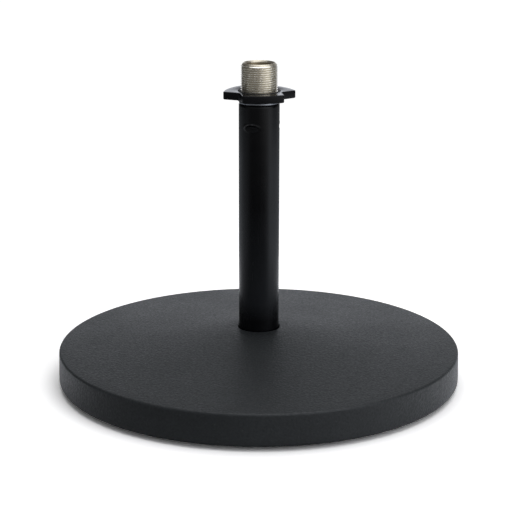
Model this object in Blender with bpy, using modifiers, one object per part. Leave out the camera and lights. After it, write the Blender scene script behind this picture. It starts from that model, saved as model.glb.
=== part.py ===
"""Desktop microphone stand: a heavy round cast base, a short painted tube and a
5/8"-27 threaded nipple that carries a lobed lock ring.

Metres, +Z up.  Origin: centre of the base on the floor plane.
Dimensions are in millimetres and angles in degrees; MM converts to metres.
In the names, _R is a radius, _LOW, _TOP and _Z are heights above the floor,
and _BREAK is the size of a small chamfer.
"""

import bpy
import bmesh
import math
from mathutils import Matrix, Vector

MM = 0.001
ROUND_STEPS = 48         # usual segment count of a turned body
OVERRUN = 1.0            # unit by which cutters run past the faces they cut

# cast base
FLOOR_GAP = 1.8          # height of the casting's rim above the floor
BASE_R = 88.0            # outer radius at the rim's top edge
WALL_TOP = 16.0          # height of the rim's top edge
WALL_DRAFT = 0.25        # the wall is this much wider at its foot
EDGE_TOP_R = 1.0         # rounding of the rim's top edge
EDGE_LOW_R = 1.6         # rounding of the rim's lower edge
EDGE_STEPS = 4
CONE_STATIONS = (25.0, 45.0, 66.0)  # radii of the rings of points on the upper cone
HUB_TOP = 24.7           # height of the cone where the tube enters
SKIN = 6.0               # thickness of the casting's upper skin
RIM_IN_R = 65.5          # inner radius of the rim's resting land
RIM_IN_DRAFT = 1.2       # the rim's inner wall leans inward by this much
RIM_IN_DROP = 2.0        # and ends this far below the skin
SKIN_BLEND = 3.5         # radial reach of the slopes from skin to rim and boss
HUB_R = 17.0             # boss under the middle of the casting
HUB_DRAFT = 0.8          # the boss is this much wider near the skin
HUB_DROP = 1.8           # its wall ends this far below the skin
HUB_LOW = 10.8           # lower face of that boss
UNDERSIDE_BREAK = 0.8    # on the rim's inner edge and the boss
SOCKET_R = 9.10          # socket for the tube
SOCKET_FLOOR = 16.0
SOCKET_LIP = 0.55        # small break at the socket's mouth
SOCKET_LIP_MID = 0.16, 0.17  # the break's middle point: outward, down
BOLT_HOLE_R = 4.4
RIB_COUNT = 6
RIB_FIRST = 30.0         # direction of the first rib
RIB_T = 4.0
RIB_LOW = 5.2
RIB_IN_R = HUB_R - 3.0   # the ribs run into the boss and the rim
RIB_OUT_R = RIM_IN_R + 2.0
RIB_BLANK_TOP = HUB_TOP - SKIN - 1.2
RIB_IN_SKIN = 0.6 * SKIN  # depth of the ribs' tops below the cone

# tube
TUBE_R = 8.75
TUBE_IN_R = 7.3
TUBE_LOW = SOCKET_FLOOR + 0.25
TUBE_TOP = 124.2
TUBE_BREAK = 0.35
CRIMP_Z = 114.5          # height of the three crimp marks
CRIMP_AT = [(248.0 + 120.0 * i) % 360.0 for i in range(3)]
CRIMP_DEPTH = 0.45
CRIMP_SIZE = (1.6, 3.6, 1.5)  # half axes: radial, tangential, vertical

# 5/8"-27 UNS thread
PITCH = 25.4 / 27.0
THREAD_R = 15.875 / 2.0
THREAD_DEPTH = 0.6134 * PITCH
FLANK_ANGLE = 30.0       # half of the 60 degree thread angle
THREAD_STEPS = 24        # segments per turn

# nipple
NIPPLE_TOP = 141.5
NIPPLE_LOW = 104.0
NIPPLE_BORE_R = 5.9
SHANK_R = 7.05
SHANK_BREAK = 0.4        # radial size of the lower end's chamfer
SHANK_BREAK_H = 0.6      # its height
FLANGE_R = 8.65
FLANGE_LOW = 124.4
FLANGE_TOP = 125.2
NECK_R = 7.25
THREAD_LOW = 125.7
NECK_TOP = THREAD_LOW + 0.4  # the neck overlaps the threaded rod
CHAMFER = 1.2            # lead-in chamfer, 45 degrees
CHAMFER_ABOVE = 0.3      # reach of its cutter above the nipple
CHAMFER_OUT = 3.0        # reach of its cutter outside the thread
MOUTH_R = 6.4            # countersunk mouth of the nipple's bore
MOUTH_DEPTH = 0.7

# lock ring
RING_TOP = 129.45
PLATE_T = 3.3
PLATE_SOFT = 0.3         # rounding of the plate's edges
RING_LOW = 125.45
RING_HUB_R = 9.5
RING_HUB_TOP = RING_TOP - 1.4  # the hub's top lies inside the plate
RING_HUB_BREAK = 0.3
LOBE_TIP_R = 14.5
LOBE_HALF_W = 8.9
LOBE_CORNER_R = 1.3
LOBE_END_R = 26.0        # the lobe ends are slightly bowed
COLLAR_R = 10.7
COLLAR_FILLET = 1.0
LOBE_AT = [38.0 + 120.0 * i for i in range(3)]
RING_CLEAR = 0.20        # radial running clearance of the ring's thread
RING_MINOR_R = 7.63

# thin friction washer let into the ring's upper face
WASHER_IN_R = 8.12
WASHER_OUT_R = 9.0
WASHER_T = 0.5
WASHER_SEAT_R = WASHER_OUT_R + 0.15
WASHER_SEAT_Z = 128.8
WASHER_LOW = WASHER_SEAT_Z + 0.2

# fastening of the tube: plug, bolt and washers
PLUG_R = 7.05
PLUG_LOW = 16.35
PLUG_TOP = 32.0
PLUG_BORE_R = 4.15
PLUG_TOP_BREAK = 0.6
PLUG_LOW_BREAK = 0.4
PLUG_BORE_BREAK = 0.5
BOLT_R = 3.9
BOLT_TIP = 30.0
BOLT_TIP_BREAK = 0.8
HEX_FLATS = 13.0
HEX_CORNER_R = 0.5 * HEX_FLATS / math.cos(math.radians(30.0))
HEX_LOW = 2.1
HEX_TOP = 7.3
HEX_FACE_R = 0.5 * HEX_FLATS - 0.1  # round lower face inside the corner chamfer
HEX_LATHE_OUT = 1.0      # the chamfer's cone is carried this far past the corners
HEX_LATHE_RISE = 0.95    # and rises this much on the way
SHANK_OVERLAP = 2.0      # the bolt's shank starts this far above the head's lower face
SPRING_IN_R, SPRING_OUT_R = 4.2, 7.1
SPRING_LOW, SPRING_TOP = 7.45, 8.95
SPRING_GAP_SIZE = (6.0, 0.9, 4.0)
SPRING_GAP_CENTRE = (6.4, 0.0, SPRING_LOW + 0.7)
SPRING_GAP_AT = 200.0    # direction of the gap
FLAT_IN_R, FLAT_OUT_R = 4.25, 8.0
FLAT_LOW, FLAT_TOP = 9.1, 10.65

# rubber feet and their screws
FOOT_COUNT = 6
FOOT_AT_R = 74.0
FOOT_R = 7.0
FOOT_TOP = 3.75
FOOT_EDGE = ((0.0, 0.9), (0.25, 0.3), (0.8, 0.0))  # lower edge: (inset, height)
FOOT_SEAT_R = FOOT_R + 0.25
FOOT_SEAT_Z = 4.0
FOOT_BORE_R = 2.3
FOOT_SINK_R = 4.3
FOOT_SINK_Z = 1.9
SCREW_R = 1.95
SCREW_TIP = 11.0
SCREW_TIP_BREAK = 0.5    # radial size of the tip's chamfer
SCREW_TIP_BREAK_H = 0.6  # its height
SCREW_HOLE_R = SCREW_R + 0.2
SCREW_HOLE_TOP = SCREW_TIP + 0.6
HEAD_R = 3.9
HEAD_LOW, HEAD_TOP = 0.45, 1.7
HEAD_EDGE = ((0.0, 0.45), (0.45, 0.1), (1.2, 0.0))  # lower edge: (inset, rise)
SLOT_SIZE = (4.2, 0.85, 1.6)
SLOT_FIRST = 17.0        # direction of the first screw's slots
SLOT_ADVANCE = 41.0      # turn from each screw's slots to the next one's


# ------------------------------------------------------------ scene and materials
def clear_scene():
    for obj in list(bpy.data.objects):
        bpy.data.objects.remove(obj, do_unlink=True)


def new_collection(name):
    collection = bpy.data.collections.new(name)
    bpy.context.scene.collection.children.link(collection)
    return collection


def material(name, colour, roughness, metallic=0.0):
    mat = bpy.data.materials.new(name)
    mat.use_nodes = True
    bsdf = mat.node_tree.nodes["Principled BSDF"]
    bsdf.inputs["Base Color"].default_value = (*colour, 1.0)
    bsdf.inputs["Roughness"].default_value = roughness
    bsdf.inputs["Metallic"].default_value = metallic
    mat.diffuse_color = (*colour, 1.0)
    return mat


def finish(obj, mat, sharp_angle=35.0):
    """Give the whole object one material; edges steeper than sharp_angle stay sharp."""
    obj.data.materials.clear()
    obj.data.materials.append(mat)
    for poly in obj.data.polygons:
        poly.material_index = 0
    obj.data.shade_smooth()
    obj.data.set_sharp_from_angle(angle=math.radians(sharp_angle))


# ---------------------------------------------------------------- mesh helpers
def mesh_object(name, bm, collection):
    """Turn a bmesh into a linked object and free the bmesh."""
    mesh = bpy.data.meshes.new(name)
    bm.to_mesh(mesh)
    bm.free()
    obj = bpy.data.objects.new(name, mesh)
    collection.objects.link(obj)
    return obj


def evaluated_mesh(obj):
    bpy.context.view_layer.update()
    graph = bpy.context.evaluated_depsgraph_get()
    return bpy.data.meshes.new_from_object(obj.evaluated_get(graph), depsgraph=graph)


def bake(obj):
    """Replace the object's mesh by its evaluated mesh and drop the modifiers."""
    mesh = evaluated_mesh(obj)
    obj.modifiers.clear()
    obj.data = mesh


def profile_object(name, profile, closed, collection):
    """Chain of edges through the (radius, height) points, in the XZ plane."""
    bm = bmesh.new()
    verts = [bm.verts.new((r * MM, 0.0, z * MM)) for r, z in profile]
    for start, end in zip(verts, verts[1:]):
        bm.edges.new((start, end))
    if closed:
        bm.edges.new((verts[-1], verts[0]))
    return mesh_object(name, bm, collection)


def add_screw(obj, steps, merge):
    """Screw modifier of one turn about Z."""
    screw = obj.modifiers.new("Screw", "SCREW")
    screw.axis = "Z"
    screw.angle = math.tau
    screw.steps = steps
    screw.render_steps = steps
    screw.use_merge_vertices = merge
    screw.use_normal_calculate = False
    return screw


def turned(name, profile, collection, steps=ROUND_STEPS):
    """Body of revolution about Z.  profile: loop of (radius, height), running from
    top to bottom on its outer side; left open where both ends lie on the axis."""
    closed = not (profile[0][0] == 0.0 and profile[-1][0] == 0.0)
    obj = profile_object(name, profile, closed, collection)
    add_screw(obj, steps, merge=True).merge_threshold = 1e-6
    bake(obj)
    return obj


def cylinder(name, radius, low, top, segments, collection, at=(0.0, 0.0)):
    bm = bmesh.new()
    bmesh.ops.create_cone(
        bm, cap_ends=True, segments=segments, radius1=radius * MM,
        radius2=radius * MM, depth=(top - low) * MM,
        matrix=Matrix.Translation((at[0] * MM, at[1] * MM, 0.5 * (low + top) * MM)),
    )
    return mesh_object(name, bm, collection)


def place(bm, size, centre, turn):
    """Scale a unit body to size, move it to centre, then turn it about the Z axis."""
    bmesh.ops.scale(bm, vec=Vector(size) * MM, verts=bm.verts)
    bmesh.ops.translate(bm, vec=Vector(centre) * MM, verts=bm.verts)
    bmesh.ops.rotate(bm, cent=(0, 0, 0), verts=bm.verts,
                     matrix=Matrix.Rotation(math.radians(turn), 3, "Z"))


def box(name, size, centre, turn, collection):
    bm = bmesh.new()
    bmesh.ops.create_cube(bm, size=1.0)
    place(bm, size, centre, turn)
    return mesh_object(name, bm, collection)


def combine(obj, other, operation):
    """Apply an exact Boolean and hide the helper."""
    mod = obj.modifiers.new("Boolean", "BOOLEAN")
    mod.operation = operation
    mod.solver = "EXACT"
    mod.object = other
    bake(obj)
    other.hide_render = True
    other.display_type = "WIRE"


def arc(centre_x, centre_y, radius, start, end, steps):
    """Points of an arc from angle start to end, both ends included."""
    points = []
    for i in range(steps + 1):
        angle = math.radians(start + (end - start) * i / steps)
        points.append((centre_x + radius * math.cos(angle),
                       centre_y + radius * math.sin(angle)))
    return points


def thread_rod(name, major_r, minor_r, low, top, collection):
    """Solid rod with a right-hand 60 degree thread, cut flat at low and top."""
    crest = PITCH / 8.0
    flank = (major_r - minor_r) * math.tan(math.radians(FLANK_ANGLE))
    root = PITCH - crest - 2.0 * flank
    start = PITCH * math.floor(low / PITCH - 1.0)
    # one pitch, from the middle of a root down to the middle of the next
    profile = [
        (minor_r, PITCH),
        (minor_r, PITCH - 0.5 * root),
        (major_r, PITCH - 0.5 * root - flank),
        (major_r, 0.5 * root + flank),
        (minor_r, 0.5 * root),
        (minor_r, 0.0),
    ]
    rod = profile_object(name, [(r, z + start) for r, z in profile], False, collection)
    screw = add_screw(rod, THREAD_STEPS, merge=False)
    screw.screw_offset = PITCH * MM
    # spare turns, so that the helix covers both cuts
    screw.iterations = int(math.ceil((top - low) / PITCH)) + 3
    bake(rod)

    weld = 2e-6
    bm = bmesh.new()
    bm.from_mesh(rod.data)
    bmesh.ops.remove_doubles(bm, verts=bm.verts, dist=weld)
    for z, normal_z in ((low, -1.0), (top, 1.0)):
        bmesh.ops.bisect_plane(
            bm, geom=bm.verts[:] + bm.edges[:] + bm.faces[:], dist=1e-9,
            plane_co=(0, 0, z * MM), plane_no=(0, 0, normal_z), clear_outer=True,
        )
    bmesh.ops.remove_doubles(bm, verts=bm.verts, dist=weld)
    rim = [edge for edge in bm.edges if edge.is_boundary]
    bmesh.ops.holes_fill(bm, edges=rim, sides=0)
    bmesh.ops.recalc_face_normals(bm, faces=bm.faces)
    bm.to_mesh(rod.data)
    bm.free()
    return rod


# --------------------------------------------------------------------- casting
def cone_z(radius):
    """Height of the shallow upper cone."""
    rim_r = BASE_R - EDGE_TOP_R
    share = (radius - SOCKET_R) / (rim_r - SOCKET_R)
    return HUB_TOP + (WALL_TOP - HUB_TOP) * share


def skin_z(radius):
    """Underside of the skin below the cone."""
    return cone_z(radius) - SKIN


def base_profile():
    foot_r = BASE_R + WALL_DRAFT
    lip_out, lip_down = SOCKET_LIP_MID
    return [
        (SOCKET_R, HUB_TOP - SOCKET_LIP),
        (SOCKET_R + lip_out, HUB_TOP - lip_down),
        (SOCKET_R + SOCKET_LIP, cone_z(SOCKET_R + SOCKET_LIP)),
        *[(r, cone_z(r)) for r in CONE_STATIONS],
        *arc(BASE_R - EDGE_TOP_R, WALL_TOP - EDGE_TOP_R, EDGE_TOP_R, 84.0, 0.0, EDGE_STEPS),
        *arc(foot_r - EDGE_LOW_R, FLOOR_GAP + EDGE_LOW_R, EDGE_LOW_R, 0.0, -90.0, EDGE_STEPS),
        (RIM_IN_R + UNDERSIDE_BREAK, FLOOR_GAP),
        (RIM_IN_R, FLOOR_GAP + UNDERSIDE_BREAK),
        (RIM_IN_R - RIM_IN_DRAFT, skin_z(RIM_IN_R) - RIM_IN_DROP),
        (RIM_IN_R - SKIN_BLEND, skin_z(RIM_IN_R)),
        (HUB_R + SKIN_BLEND, skin_z(HUB_R)),
        (HUB_R + HUB_DRAFT, skin_z(HUB_R) - HUB_DROP),
        (HUB_R, HUB_LOW + UNDERSIDE_BREAK),
        (HUB_R - UNDERSIDE_BREAK, HUB_LOW),
        (BOLT_HOLE_R, HUB_LOW),
        (BOLT_HOLE_R, SOCKET_FLOOR),
        (SOCKET_R, SOCKET_FLOOR),
    ]


def make_rib(index, cutters):
    """Radial rib whose sloping top stays inside the casting's skin."""
    middle_z = 0.5 * (RIB_BLANK_TOP + RIB_LOW)
    rib = box(f"rib_{index}",
              (RIB_OUT_R - RIB_IN_R, RIB_T, RIB_BLANK_TOP - RIB_LOW),
              (0.5 * (RIB_OUT_R + RIB_IN_R), 0.0, middle_z),
              RIB_FIRST + 360.0 * index / RIB_COUNT, cutters)
    for vert in rib.data.vertices:
        if vert.co.z / MM > middle_z:
            radius = math.hypot(vert.co.x, vert.co.y) / MM
            vert.co.z = (cone_z(radius) - RIB_IN_SKIN) * MM
    return rib


def foot_places():
    """(x, y) of each foot."""
    angles = [math.radians(360.0 * i / FOOT_COUNT) for i in range(FOOT_COUNT)]
    return [(FOOT_AT_R * math.cos(a), FOOT_AT_R * math.sin(a)) for a in angles]


def make_base(parts, cutters):
    base = turned("base_casting", base_profile(), parts, steps=64)
    for i in range(RIB_COUNT):
        combine(base, make_rib(i, cutters), "UNION")
    for i, at in enumerate(foot_places()):
        seat = cylinder(f"seat_{i}", FOOT_SEAT_R, -2.0 * OVERRUN, FOOT_SEAT_Z,
                        20, cutters, at)
        combine(base, seat, "DIFFERENCE")
        hole = cylinder(f"screw_hole_{i}", SCREW_HOLE_R, FOOT_SEAT_Z - OVERRUN,
                        SCREW_HOLE_TOP, 12, cutters, at)
        combine(base, hole, "DIFFERENCE")
    return base


# ------------------------------------------------------------------------ tube
def make_crimp(index, turn, cutters):
    """Ellipsoid that dents the tube's outer wall."""
    bm = bmesh.new()
    bmesh.ops.create_uvsphere(bm, u_segments=16, v_segments=10, radius=1.0)
    place(bm, CRIMP_SIZE, (TUBE_R + CRIMP_SIZE[0] - CRIMP_DEPTH, 0, CRIMP_Z), turn)
    return mesh_object(f"crimp_{index}", bm, cutters)


def make_tube(parts, cutters):
    tube = turned("shaft_tube", [
        (TUBE_R - TUBE_BREAK, TUBE_TOP),
        (TUBE_R, TUBE_TOP - TUBE_BREAK),
        (TUBE_R, TUBE_LOW + TUBE_BREAK),
        (TUBE_R - TUBE_BREAK, TUBE_LOW),
        (TUBE_IN_R, TUBE_LOW),
        (TUBE_IN_R, TUBE_TOP),
    ], parts)
    for i, turn in enumerate(CRIMP_AT):
        combine(tube, make_crimp(i, turn, cutters), "DIFFERENCE")
    return tube


# ---------------------------------------------------------------------- nipple
def make_nipple(parts, cutters):
    nipple = thread_rod("thread_nipple", THREAD_R, THREAD_R - THREAD_DEPTH,
                        THREAD_LOW, NIPPLE_TOP, parts)
    lower = turned("nipple_lower", [
        (0.0, NECK_TOP),
        (NECK_R, NECK_TOP),
        (NECK_R, FLANGE_TOP),
        (FLANGE_R, FLANGE_TOP),
        (FLANGE_R, FLANGE_LOW),
        (SHANK_R, FLANGE_LOW),
        (SHANK_R, NIPPLE_LOW + SHANK_BREAK_H),
        (SHANK_R - SHANK_BREAK, NIPPLE_LOW),
        (0.0, NIPPLE_LOW),
    ], cutters)
    combine(nipple, lower, "UNION")
    # lead-in chamfer: everything outside this cone goes
    chamfer = turned("nipple_chamfer", [
        (THREAD_R - CHAMFER - CHAMFER_ABOVE, NIPPLE_TOP + CHAMFER_ABOVE),
        (THREAD_R + CHAMFER_OUT, NIPPLE_TOP + CHAMFER_ABOVE),
        (THREAD_R + CHAMFER_OUT, NIPPLE_TOP - CHAMFER - CHAMFER_OUT),
    ], cutters)
    combine(nipple, chamfer, "DIFFERENCE")
    bore = turned("nipple_bore", [
        (0.0, NIPPLE_TOP + OVERRUN),
        (MOUTH_R, NIPPLE_TOP + OVERRUN),
        (MOUTH_R, NIPPLE_TOP),
        (NIPPLE_BORE_R, NIPPLE_TOP - MOUTH_DEPTH),
        (NIPPLE_BORE_R, NIPPLE_LOW - OVERRUN),
        (0.0, NIPPLE_LOW - OVERRUN),
    ], cutters)
    combine(nipple, bore, "DIFFERENCE")
    return nipple


# ------------------------------------------------------------------- lock ring
def lobed_outline():
    """Closed (x, y) outline of the lobed plate, anticlockwise."""
    # the fillet's arc touches the collar and the lobe's side
    fillet_y = LOBE_HALF_W + COLLAR_FILLET
    fillet_x = math.sqrt((COLLAR_R + COLLAR_FILLET) ** 2 - fillet_y ** 2)
    fillet_turn = math.degrees(math.atan2(fillet_y, fillet_x))
    # the corner's arc is tangent to the end's arc and to the lobe's side
    end_x = LOBE_TIP_R - LOBE_END_R
    corner_y = LOBE_HALF_W - LOBE_CORNER_R
    corner_x = end_x + math.sqrt((LOBE_END_R - LOBE_CORNER_R) ** 2 - corner_y ** 2)
    end_turn = math.degrees(math.atan2(corner_y, corner_x - end_x))
    between = math.radians(180.0 / len(LOBE_AT))
    # from the lobe's centre line out along its tip and back to the collar
    half = [
        *arc(end_x, 0.0, LOBE_END_R, 0.0, end_turn, 4),
        *arc(corner_x, corner_y, LOBE_CORNER_R, end_turn, 90.0, 4)[1:],
        *arc(fillet_x, fillet_y, COLLAR_FILLET, 270.0, 180.0 + fillet_turn, 3),
        (COLLAR_R * math.cos(between), COLLAR_R * math.sin(between)),
    ]
    lobe = [(x, -y) for x, y in reversed(half[1:-1])] + half
    outline = []
    for turn in LOBE_AT:
        cos, sin = math.cos(math.radians(turn)), math.sin(math.radians(turn))
        outline += [(x * cos - y * sin, x * sin + y * cos) for x, y in lobe]
    return outline


def make_plate(parts, cutters):
    """Lobed plate with softened edges, made from a bevelled 2D curve."""
    outline = lobed_outline()
    curve = bpy.data.curves.new("lobed_plate", "CURVE")
    curve.dimensions = "2D"
    curve.fill_mode = "BOTH"
    curve.extrude = (0.5 * PLATE_T - PLATE_SOFT) * MM
    curve.bevel_depth = PLATE_SOFT * MM
    curve.bevel_resolution = 1
    curve.offset = -PLATE_SOFT * MM
    spline = curve.splines.new("POLY")
    spline.points.add(len(outline) - 1)
    for point, (x, y) in zip(spline.points, outline):
        point.co = (x * MM, y * MM, 0.0, 1.0)
    spline.use_cyclic_u = True
    blank = bpy.data.objects.new("lobed_plate", curve)
    cutters.objects.link(blank)
    blank.location.z = (RING_TOP - 0.5 * PLATE_T) * MM
    mesh = evaluated_mesh(blank)
    mesh.transform(blank.matrix_world)
    bpy.data.objects.remove(blank, do_unlink=True)
    bm = bmesh.new()
    bm.from_mesh(mesh)
    bmesh.ops.remove_doubles(bm, verts=bm.verts, dist=1e-6)
    bmesh.ops.recalc_face_normals(bm, faces=bm.faces)
    return mesh_object("lock_ring", bm, parts)


def make_ring(parts, cutters):
    ring = make_plate(parts, cutters)
    hub = turned("ring_hub", [
        (0.0, RING_HUB_TOP),
        (RING_HUB_R, RING_HUB_TOP),
        (RING_HUB_R, RING_LOW + RING_HUB_BREAK),
        (RING_HUB_R - RING_HUB_BREAK, RING_LOW),
        (0.0, RING_LOW),
    ], cutters)
    combine(ring, hub, "UNION")
    seat = cylinder("washer_seat", WASHER_SEAT_R, WASHER_SEAT_Z,
                    RING_TOP + 2.0 * OVERRUN, ROUND_STEPS, cutters)
    combine(ring, seat, "DIFFERENCE")
    tap = thread_rod("ring_tap", THREAD_R + RING_CLEAR, RING_MINOR_R,
                     RING_LOW - 1.5 * OVERRUN, RING_TOP + 1.5 * OVERRUN, cutters)
    combine(ring, tap, "DIFFERENCE")
    return ring


# --------------------------------------------------------- washers, plug, bolt
def make_washer(name, radii, heights, edge, steps, parts):
    """radii: inner, outer; heights: low, top; edge: chamfer of the outer edges."""
    inner_r, outer_r = radii
    low, top = heights
    return turned(name, [
        (outer_r - edge, top),
        (outer_r, top - edge),
        (outer_r, low + edge),
        (outer_r - edge, low),
        (inner_r, low),
        (inner_r, top),
    ], parts, steps)


def make_friction_washer(parts):
    return make_washer("friction_washer", (WASHER_IN_R, WASHER_OUT_R),
                       (WASHER_LOW, WASHER_LOW + WASHER_T), edge=0.1, steps=36, parts=parts)


def make_flat_washer(parts):
    return make_washer("flat_washer", (FLAT_IN_R, FLAT_OUT_R),
                       (FLAT_LOW, FLAT_TOP), edge=0.2, steps=24, parts=parts)


def make_spring_washer(parts, cutters):
    spring = make_washer("spring_washer", (SPRING_IN_R, SPRING_OUT_R),
                         (SPRING_LOW, SPRING_TOP), edge=0.15, steps=24, parts=parts)
    gap = box("spring_gap", SPRING_GAP_SIZE, SPRING_GAP_CENTRE, SPRING_GAP_AT, cutters)
    combine(spring, gap, "DIFFERENCE")
    return spring


def make_plug(parts):
    return turned("foot_plug", [
        (PLUG_R - PLUG_TOP_BREAK, PLUG_TOP),
        (PLUG_R, PLUG_TOP - PLUG_TOP_BREAK),
        (PLUG_R, PLUG_LOW + PLUG_LOW_BREAK),
        (PLUG_R - PLUG_LOW_BREAK, PLUG_LOW),
        (PLUG_BORE_R + PLUG_BORE_BREAK, PLUG_LOW),
        (PLUG_BORE_R, PLUG_LOW + PLUG_BORE_BREAK),
        (PLUG_BORE_R, PLUG_TOP),
    ], parts, steps=32)


def make_bolt(parts, cutters):
    bolt = cylinder("base_bolt", HEX_CORNER_R, HEX_LOW, HEX_TOP, 6, parts)
    # rounded-off corners on the head's lower face
    lathe_r = HEX_CORNER_R + HEX_LATHE_OUT
    lathe = turned("hex_lathe", [
        (0.0, HEX_TOP + OVERRUN),
        (lathe_r, HEX_TOP + OVERRUN),
        (lathe_r, HEX_LOW + HEX_LATHE_RISE),
        (HEX_FACE_R, HEX_LOW),
        (HEX_FACE_R, HEX_LOW - 0.5 * OVERRUN),
        (0.0, HEX_LOW - 0.5 * OVERRUN),
    ], cutters)
    combine(bolt, lathe, "INTERSECT")
    shank = turned("bolt_shank", [
        (0.0, BOLT_TIP),
        (BOLT_R - BOLT_TIP_BREAK, BOLT_TIP),
        (BOLT_R, BOLT_TIP - BOLT_TIP_BREAK),
        (BOLT_R, HEX_LOW + SHANK_OVERLAP),
        (0.0, HEX_LOW + SHANK_OVERLAP),
    ], cutters, steps=32)
    combine(bolt, shank, "UNION")
    return bolt


# ------------------------------------------------------------------------ feet
def make_foot(name, at, parts):
    foot = turned(name, [
        (FOOT_R, FOOT_TOP),
        *[(FOOT_R - inset, height) for inset, height in FOOT_EDGE],
        (FOOT_SINK_R, 0.0),
        (FOOT_SINK_R, FOOT_SINK_Z),
        (FOOT_BORE_R, FOOT_SINK_Z),
        (FOOT_BORE_R, FOOT_TOP),
    ], parts, steps=18)
    foot.location = (at[0] * MM, at[1] * MM, 0.0)
    return foot


def make_foot_screw(name, at, turn, parts, cutters):
    """Cross-slotted screw, head down."""
    screw = turned(name, [
        (0.0, SCREW_TIP),
        (SCREW_R - SCREW_TIP_BREAK, SCREW_TIP),
        (SCREW_R, SCREW_TIP - SCREW_TIP_BREAK_H),
        (SCREW_R, HEAD_TOP),
        (HEAD_R, HEAD_TOP),
        *[(HEAD_R - inset, HEAD_LOW + rise) for inset, rise in HEAD_EDGE],
        (0.0, HEAD_LOW),
    ], parts, steps=16)
    # the slots are cut at the origin, before the screw is moved to its foot
    for i in range(2):
        slot = box(f"{name}_slot_{i}", SLOT_SIZE, (0.0, 0.0, HEAD_LOW),
                   turn + 90.0 * i, cutters)
        combine(screw, slot, "DIFFERENCE")
    screw.location = (at[0] * MM, at[1] * MM, 0.0)
    return screw


def main():
    clear_scene()
    parts = new_collection("desktop_mic_stand")
    cutters = new_collection("cutters")

    iron = material("powder_coated_iron", colour=(0.028, 0.031, 0.032), roughness=0.62)
    paint = material("black_painted_steel", colour=(0.010, 0.010, 0.011), roughness=0.34)
    nickel = material("nickel_plate", colour=(0.70, 0.67, 0.60), roughness=0.26, metallic=1.0)
    zinc = material("zinc_plated_steel", colour=(0.58, 0.59, 0.60), roughness=0.35,
                    metallic=1.0)
    ring_black = material("black_lock_ring", colour=(0.020, 0.020, 0.022), roughness=0.40)
    fibre = material("black_fibre", colour=(0.020, 0.020, 0.020), roughness=0.80)
    plug_metal = material("turned_plug", colour=(0.55, 0.56, 0.57), roughness=0.40,
                          metallic=1.0)
    rubber = material("black_rubber", colour=(0.015, 0.015, 0.015), roughness=0.85)

    finish(make_base(parts, cutters), iron, sharp_angle=30.0)
    finish(make_tube(parts, cutters), paint)
    finish(make_nipple(parts, cutters), nickel, sharp_angle=25.0)
    finish(make_ring(parts, cutters), ring_black, sharp_angle=30.0)
    finish(make_friction_washer(parts), fibre)
    finish(make_plug(parts), plug_metal)
    finish(make_bolt(parts, cutters), zinc, sharp_angle=25.0)
    finish(make_flat_washer(parts), zinc)
    finish(make_spring_washer(parts, cutters), zinc)
    for i, at in enumerate(foot_places()):
        finish(make_foot(f"rubber_foot_{i + 1}", at, parts), rubber)
        finish(make_foot_screw(f"foot_screw_{i + 1}", at, SLOT_FIRST + SLOT_ADVANCE * i,
                               parts, cutters), zinc)


main()
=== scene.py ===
"""Looks for a desktop microphone stand.

The stand's axis is +Z and passes through the origin; the floor is z = 0 and the
camera looks along +Y. A round cast base on six rubber feet carries a short tube,
which ends in a threaded nipple with a lobed lock ring. The CAD frame gives every
place; this script builds finer meshes, materials, floor, lights and camera.
Piece sizes are in millimetres; materials and stage are in metres.
"""

import functools
import math

import bmesh
import bpy
from mathutils import Matrix, Vector


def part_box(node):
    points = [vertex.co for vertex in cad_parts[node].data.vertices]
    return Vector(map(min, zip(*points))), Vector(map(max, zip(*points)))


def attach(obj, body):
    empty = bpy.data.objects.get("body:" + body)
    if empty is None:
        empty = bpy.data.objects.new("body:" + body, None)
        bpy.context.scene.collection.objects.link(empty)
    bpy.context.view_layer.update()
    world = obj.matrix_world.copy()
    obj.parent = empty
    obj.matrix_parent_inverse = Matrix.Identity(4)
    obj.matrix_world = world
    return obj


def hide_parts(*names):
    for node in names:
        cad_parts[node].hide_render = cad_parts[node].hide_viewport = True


MM = 0.001
TAU = math.tau

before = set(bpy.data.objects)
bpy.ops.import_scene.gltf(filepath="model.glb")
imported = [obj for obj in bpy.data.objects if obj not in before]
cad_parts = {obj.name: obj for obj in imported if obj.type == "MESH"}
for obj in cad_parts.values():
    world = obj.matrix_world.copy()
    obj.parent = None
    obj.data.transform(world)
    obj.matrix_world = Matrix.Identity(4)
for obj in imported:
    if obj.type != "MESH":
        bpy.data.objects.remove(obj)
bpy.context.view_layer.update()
scene = bpy.context.scene


def span(node):
    """Lowest and highest corner of a CAD piece, in mm."""
    low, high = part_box(node)
    return low / MM, high / MM


# ------------------------------------------------------------ sizes from the frame
base_low, base_high = span("base_casting")
tube_low, tube_high = span("shaft_tube")
nipple_low, nipple_high = span("thread_nipple")
ring_low, ring_high = span("lock_ring")
friction_low, friction_high = span("friction_washer")
plug_low, plug_high = span("foot_plug")
bolt_low, bolt_high = span("base_bolt")
flat_low, flat_high = span("flat_washer")
spring_low, spring_high = span("spring_washer")
foot_high = span("rubber_foot_1")[1]
screw_high = span("foot_screw_1")[1]

BASE_LOW_R = base_high.x               # radius at the foot of the rim
BASE_R = BASE_LOW_R - 0.25             # radius at its top
FLOOR_GAP = base_low.z
HUB_TOP = base_high.z
WALL_TOP = 16.0
SOCKET_R = 9.10
SOCKET_FLOOR = 16.0

TUBE_R = tube_high.x
TUBE_IN_R = 7.3
TUBE_LOW, TUBE_TOP = tube_low.z, tube_high.z

PITCH = 25.4 / 27.0                    # 27 threads to the inch
THREAD_R = 15.875 / 2.0                # 5/8 inch across
THREAD_DEPTH = 0.6134 * PITCH
RING_TOP, RING_LOW = ring_high.z, ring_low.z


def foot_places():
    """Number and centre of each rubber foot."""
    for i in range(6):
        low, high = span(f"rubber_foot_{i + 1}")
        yield i, 0.5 * (low.x + high.x), 0.5 * (low.y + high.y)


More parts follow.
